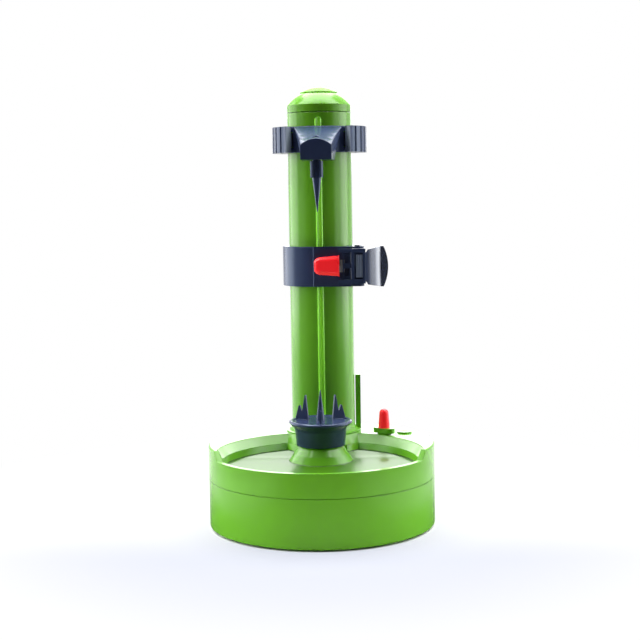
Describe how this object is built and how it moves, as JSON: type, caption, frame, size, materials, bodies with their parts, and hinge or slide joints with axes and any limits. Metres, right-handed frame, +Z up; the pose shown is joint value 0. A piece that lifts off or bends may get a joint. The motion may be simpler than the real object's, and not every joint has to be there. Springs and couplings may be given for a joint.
{
  "type": "electric potato peeler",
  "caption": "Upright battery-driven peeler: round base with tray and spiked turntable, column with a lead-screw-fed hinged peeling arm and a sliding top holder.",
  "frame": {"origin": "centre of the base on the table", "axes": "+Z up the column, +X to the right as seen from the tray side, +Y from the tray towards the column"},
  "size_m": [0.134, 0.134, 0.2608],
  "materials": {
    "green_plastic": "high-gloss leaf green moulding",
    "slate_plastic": "semi-gloss dark blue-grey moulding",
    "red_plastic": "translucent-looking bright red moulding",
    "gear_plastic": "natural white acetal",
    "black_plastic": "black moulding",
    "cell_sleeve": "plain printed sleeve",
    "bright_steel": "plated steel",
    "blade_steel": "ground stainless steel",
    "brass": "turned brass",
    "rubber": "black rubber"
  },
  "bodies": {
    "base": {"lower_shell": "green_plastic", "top_cover": "green_plastic", "battery_cells": "cell_sleeve", "battery_contacts": "bright_steel", "cell_springs": "bright_steel", "rubber_feet": "rubber", "base_screws": "bright_steel", "gear_plate": "gear_plastic", "journal_bushes": "brass", "spindle_bush": "brass", "column_bush": "brass", "motor": "bright_steel", "gear_axle": "bright_steel", "dc_inlet": "black_plastic", "main_switch": "black_plastic", "limit_switch": "black_plastic", "button_spring": "bright_steel", "column": "green_plastic", "column_screws": "bright_steel", "column_cap": "green_plastic", "cap_disc": "green_plastic", "rod_spring": "bright_steel"},
    "battery_door": {"battery_door": "green_plastic"},
    "motor_rotor": {"motor_pinion": "bright_steel"},
    "reduction_gear": {"compound_gear": "gear_plastic"},
    "turntable": {"turntable_gear": "gear_plastic", "turntable_shaft": "bright_steel", "lower_holder": "slate_plastic"},
    "feed_screw": {"lead_screw": "bright_steel", "screw_gear": "gear_plastic"},
    "power_button": {"power_button": "green_plastic"},
    "stop_rod": {"stop_rod": "green_plastic"},
    "carriage": {"arm_carriage": "slate_plastic", "nut_spring": "bright_steel", "hinge_pin": "bright_steel", "arm_spring": "bright_steel"},
    "release_nut": {"carriage_nut": "gear_plastic"},
    "arm": {"peeling_arm": "slate_plastic"},
    "blade": {"blade_head": "slate_plastic", "blade": "blade_steel"},
    "blade_cap": {"blade_cap": "red_plastic"},
    "top_holder": {"top_holder": "slate_plastic", "grip_pins": "bright_steel", "grip_springs": "bright_steel"},
    "top_spindle": {"top_spindle": "slate_plastic", "spindle_clip": "bright_steel"},
    "left_grip": {"left_grip": "slate_plastic", "left_brake_pad": "rubber"},
    "right_grip": {"right_grip": "slate_plastic", "right_brake_pad": "rubber"},
    "knife": {"knife_handle": "green_plastic", "knife_blade": "blade_steel"},
    "knife_cap": {"knife_cap": "red_plastic"}
  },
  "joints": [
    {"name": "turntable_spin", "type": "hinge", "parent": "base", "child": "turntable", "pos_m": [0, -0.008, 0.0493], "axis": [0, 0, 1], "range_deg": [-5635.2, 1522.9]},
    {"name": "screw_spin", "type": "hinge", "parent": "base", "child": "feed_screw", "pos_m": [0, 0.04, 0.0493], "axis": [0, 0, 1], "range_deg": [-1802, 6662]},
    {"name": "reduction_spin", "type": "hinge", "parent": "base", "child": "reduction_gear", "pos_m": [-0.032, -0.008, 0.0236], "axis": [0, 0, 1], "range_deg": [-6602, 24422]},
    {"name": "motor_spin", "type": "hinge", "parent": "base", "child": "motor_rotor", "pos_m": [-0.04408, 0.00991, 0.0236], "axis": [0, 0, 1], "range_deg": [-107447, 29039]},
    {"name": "carriage_feed", "type": "slide", "parent": "base", "child": "carriage", "axis": [0, 0, 1], "range_m": [-0.074, 0.02]},
    {"name": "nut_release", "type": "slide", "parent": "carriage", "child": "release_nut", "axis": [0, -1, 0], "range_m": [0, 0.0022], "stiffness_N_per_m": 600, "springref_m": -0.002, "deforming": ["nut_spring"]},
    {"name": "arm_swing", "type": "hinge", "parent": "carriage", "child": "arm", "pos_m": [0.023, 0.021, 0.1404], "axis": [0, 0, 1], "range_deg": [0, 22]},
    {"name": "blade_swivel", "type": "hinge", "parent": "arm", "child": "blade", "pos_m": [0.0138, 0.0118, 0.1531], "axis": [1, 0, 0], "range_deg": [-8, 8]},
    {"name": "blade_cap_pull", "type": "slide", "parent": "blade", "child": "blade_cap", "axis": [-1, 0, 0], "range_m": [0, 0.018]},
    {"name": "top_holder_slide", "type": "slide", "parent": "base", "child": "top_holder", "axis": [0, 0, 1], "range_m": [-0.03, 0.005]},
    {"name": "top_spindle_spin", "type": "hinge", "parent": "top_holder", "child": "top_spindle", "pos_m": [0, -0.008, 0.1404], "axis": [0, 0, 1], "continuous": true},
    {"name": "right_grip_squeeze", "type": "hinge", "parent": "top_holder", "child": "right_grip", "pos_m": [0.0256, 0.04, 0.0493], "axis": [0, 0, 1], "range_deg": [0, 4], "stiffness_Nm_per_rad": 0.4, "springref_deg": -5.73},
    {"name": "left_grip_squeeze", "type": "hinge", "parent": "top_holder", "child": "left_grip", "pos_m": [-0.0256, 0.04, 0.0493], "axis": [0, 0, 1], "range_deg": [-4, 0], "stiffness_Nm_per_rad": 0.4, "springref_deg": 5.73},
    {"name": "power_press", "type": "slide", "parent": "base", "child": "power_button", "axis": [0, 0, -1], "range_m": [0, 0.0012], "stiffness_N_per_m": 500, "springref_m": -0.002, "deforming": ["button_spring"]},
    {"name": "rod_press", "type": "slide", "parent": "base", "child": "stop_rod", "axis": [0, 0, -1], "range_m": [0, 0.003], "stiffness_N_per_m": 300, "springref_m": -0.002, "deforming": ["rod_spring"]},
    {"name": "battery_door_hinge", "type": "hinge", "parent": "base", "child": "battery_door", "pos_m": [0, -0.00272, 0.0021], "axis": [1, 0, 0], "range_deg": [0, 95]},
    {"name": "knife_lift", "type": "slide", "parent": "base", "child": "knife", "axis": [0, 0, 1], "range_m": [0, 0.024]},
    {"name": "knife_cap_pull", "type": "slide", "parent": "knife", "child": "knife_cap", "axis": [0, 0, 1], "range_m": [0, 0.013]}
  ],
  "couplings": [
    {"joint": "screw_spin", "follows": "turntable_spin", "ratio": -1.1818},
    {"joint": "reduction_spin", "follows": "turntable_spin", "ratio": -4.3333},
    {"joint": "motor_spin", "follows": "turntable_spin", "ratio": 19.067},
    {"joint": "carriage_feed", "follows": "turntable_spin", "m_per_rad": 0.00075237},
    {"joint": "left_grip_squeeze", "follows": "right_grip_squeeze", "ratio": -1}
  ]
}
